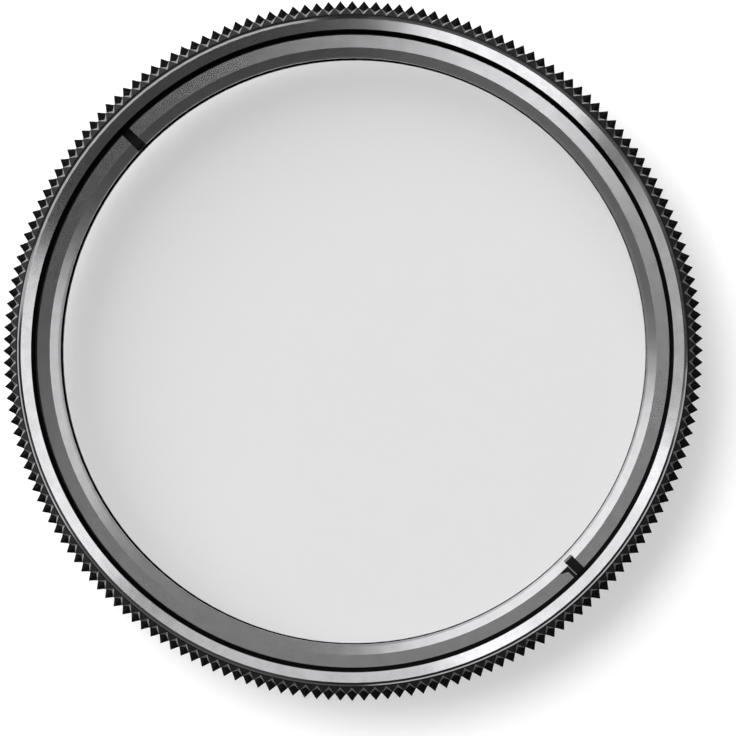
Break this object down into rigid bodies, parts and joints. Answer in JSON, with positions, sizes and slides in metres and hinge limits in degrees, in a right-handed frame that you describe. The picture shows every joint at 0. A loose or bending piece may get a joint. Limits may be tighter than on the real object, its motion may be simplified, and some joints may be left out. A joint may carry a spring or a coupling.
{
  "type": "screw-in lens filter",
  "caption": "Round screw-in lens filter: a clear glass disc in a diamond-knurled black mount ring, threaded front and rear, clamped by a slotted retaining ring.",
  "frame": {"origin": "on the optical axis, level with the rear end of the male thread, which the filter stands on", "axes": "+Z along the optical axis to the front, away from the lens; seen from the front, X is to the right and Y is up"},
  "size_m": [0.0568, 0.0568, 0.0065],
  "materials": {
    "mount_anodising": "satin black anodised aluminium, turned",
    "ring_anodising": "satin black anodised aluminium, finely turned",
    "clear_glass": "polished clear optical glass"
  },
  "bodies": {
    "root": {"mount_ring": "mount_anodising", "glass_disc": "clear_glass", "retaining_ring": "ring_anodising"}
  },
  "joints": []
}
